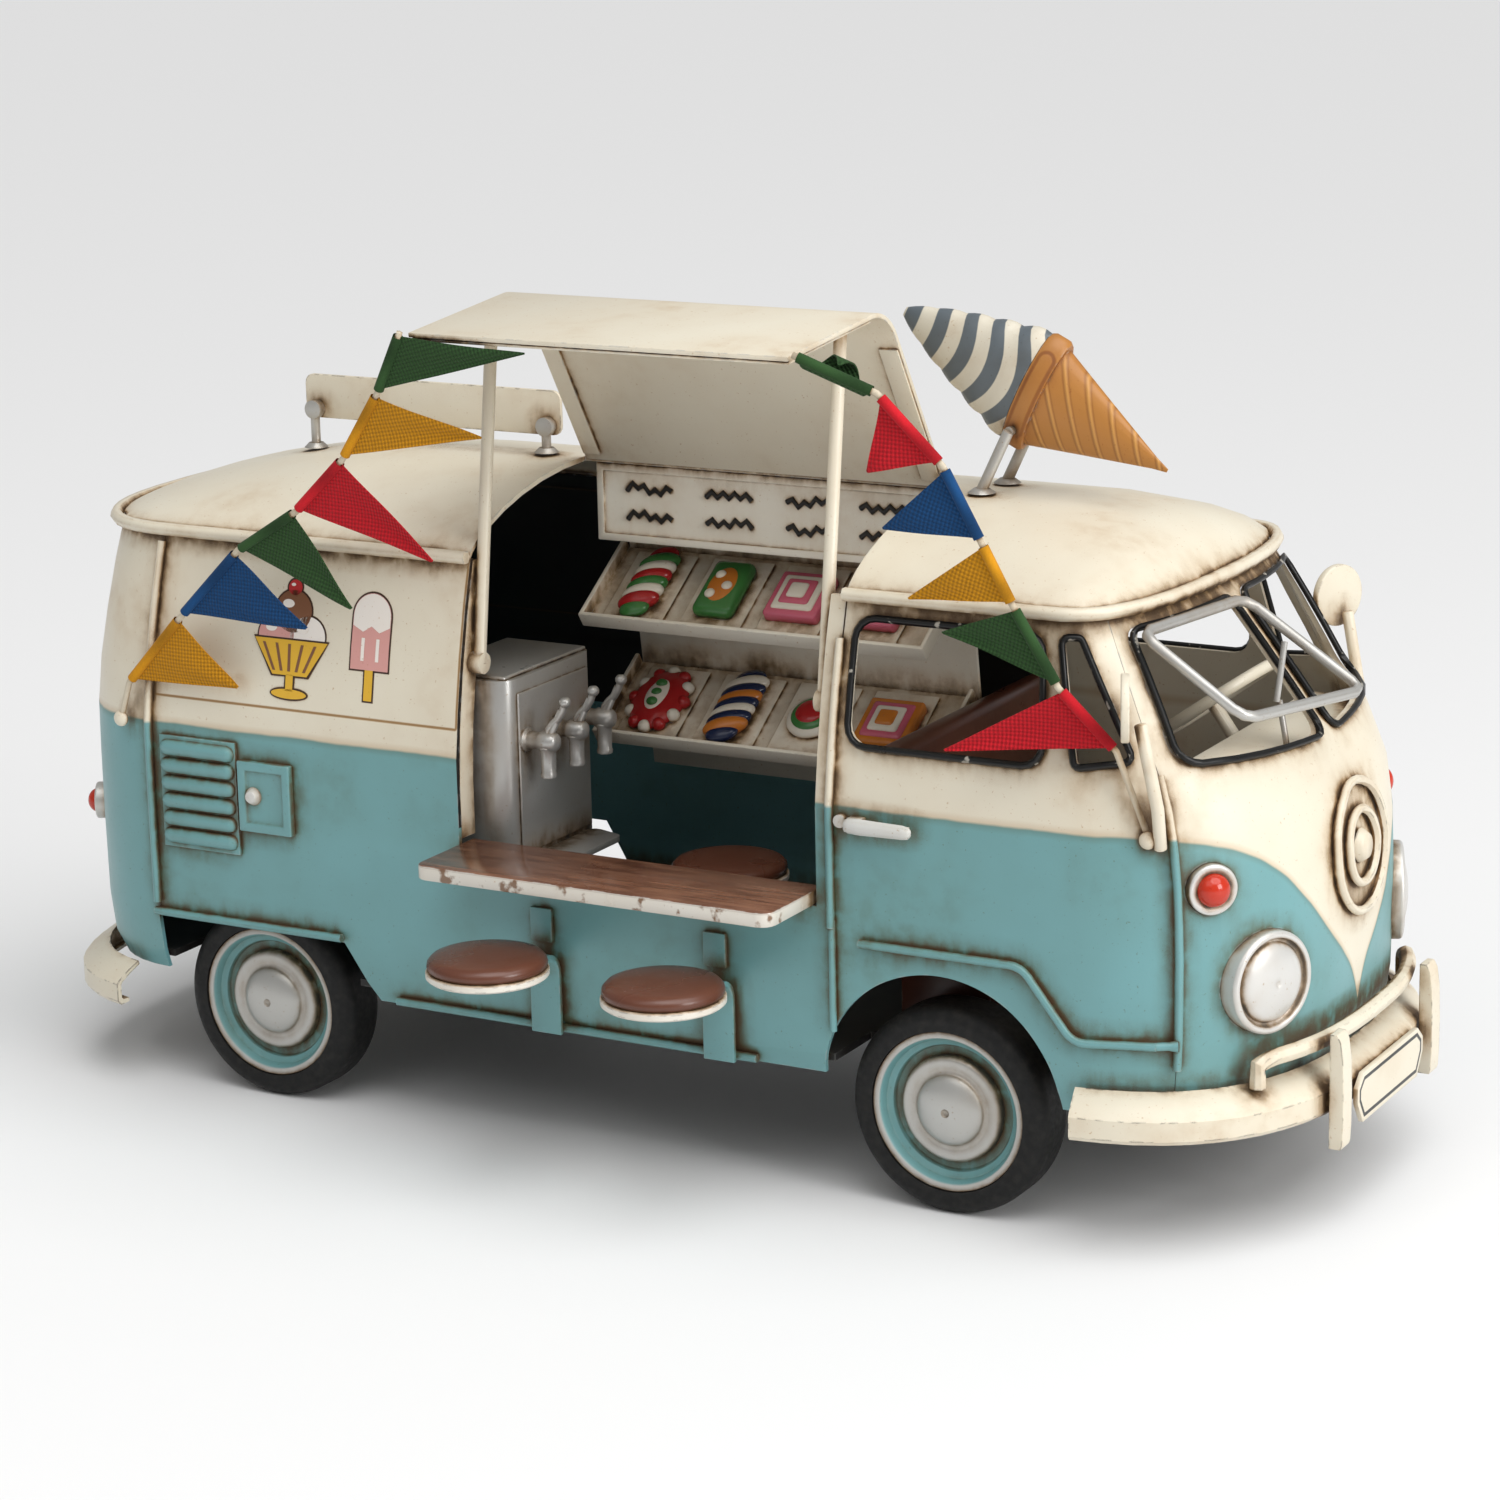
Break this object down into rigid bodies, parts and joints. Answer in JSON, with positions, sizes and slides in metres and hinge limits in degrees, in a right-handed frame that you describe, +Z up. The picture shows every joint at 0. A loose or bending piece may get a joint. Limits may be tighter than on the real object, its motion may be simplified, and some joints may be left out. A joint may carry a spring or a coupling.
{
  "type": "tinplate ice cream bus model",
  "caption": "Tinplate display model of a rounded ice cream bus with an open serving hatch, raised awning, counter, stools, roof signs and wheels that roll.",
  "frame": {"origin": "on the ground plane under the tyres, midway between the axles, on the middle plane of the body", "axes": "+X forward, +Y to the left of the bus, +Z up"},
  "size_m": [0.2949, 0.1473, 0.1719],
  "materials": {
    "cream_paint": "aged cream enamel with brown wash in the creases",
    "blue_paint": "aged pale blue enamel",
    "brown_paint": "glossy dark brown enamel",
    "silver_paint": "rubbed silver paint",
    "bare_steel": "plain drawn steel",
    "dark_paint": "flat black",
    "tyre": "plain black",
    "red_paint": "glossy red and mixed colours",
    "ivory_paint": "ivory enamel",
    "wafer_paint": "ochre paint with a brown wash",
    "swirl_paint": "cream and grey-blue bands",
    "wire": "stiff wire covered in cream cotton",
    "flag_cloth": "woven cotton in red, blue, mustard and green"
  },
  "bodies": {
    "bus": {"nose_panel": "cream_paint", "door_right": "blue_paint", "door_left": "blue_paint", "side_right": "blue_paint", "side_left": "blue_paint", "rear_panel": "blue_paint", "roof": "cream_paint", "awning": "cream_paint", "gutter": "cream_paint", "seam_beads": "blue_paint", "hatch_posts": "cream_paint", "prop_rods": "cream_paint", "counter": "brown_paint", "stool_seats": "brown_paint", "stool_brackets": "blue_paint", "floor_pan": "dark_paint", "axles": "bare_steel", "front_bumper": "cream_paint", "bumper_irons": "bare_steel", "guard_bar": "cream_paint", "plate": "cream_paint", "rear_bumper": "cream_paint", "headlights": "silver_paint", "indicators": "red_paint", "nose_rings": "cream_paint", "window_seals": "dark_paint", "screen_frame": "silver_paint", "mirrors": "cream_paint", "bench_seat": "brown_paint", "steering": "ivory_paint", "dashboard": "cream_paint", "menu_board": "cream_paint", "display_back": "cream_paint", "trays": "cream_paint", "cakes": "red_paint", "dispenser": "silver_paint", "roof_sign": "cream_paint", "sign_posts": "silver_paint", "cone_wafer": "wafer_paint", "cone_swirl": "swirl_paint", "cone_stand": "silver_paint", "bunting_lines": "wire", "flags": "flag_cloth", "side_trim": "blue_paint"},
    "wheel_front_right": {"tyre_front_right": "tyre", "rim_front_right": "blue_paint", "hubcap_front_right": "silver_paint"},
    "wheel_front_left": {"tyre_front_left": "tyre", "rim_front_left": "blue_paint", "hubcap_front_left": "silver_paint"},
    "wheel_rear_right": {"tyre_rear_right": "tyre", "rim_rear_right": "blue_paint", "hubcap_rear_right": "silver_paint"},
    "wheel_rear_left": {"tyre_rear_left": "tyre", "rim_rear_left": "blue_paint", "hubcap_rear_left": "silver_paint"}
  },
  "joints": [
    {"name": "wheel_front_right_spin", "type": "hinge", "parent": "bus", "child": "wheel_front_right", "pos_m": [0.08, -0.044, 0.021], "axis": [0, 1, 0], "continuous": true},
    {"name": "wheel_front_left_spin", "type": "hinge", "parent": "bus", "child": "wheel_front_left", "pos_m": [0.08, 0.044, 0.021], "axis": [0, 1, 0], "continuous": true},
    {"name": "wheel_rear_right_spin", "type": "hinge", "parent": "bus", "child": "wheel_rear_right", "pos_m": [-0.08, -0.044, 0.021], "axis": [0, 1, 0], "continuous": true},
    {"name": "wheel_rear_left_spin", "type": "hinge", "parent": "bus", "child": "wheel_rear_left", "pos_m": [-0.08, 0.044, 0.021], "axis": [0, 1, 0], "continuous": true}
  ]
}
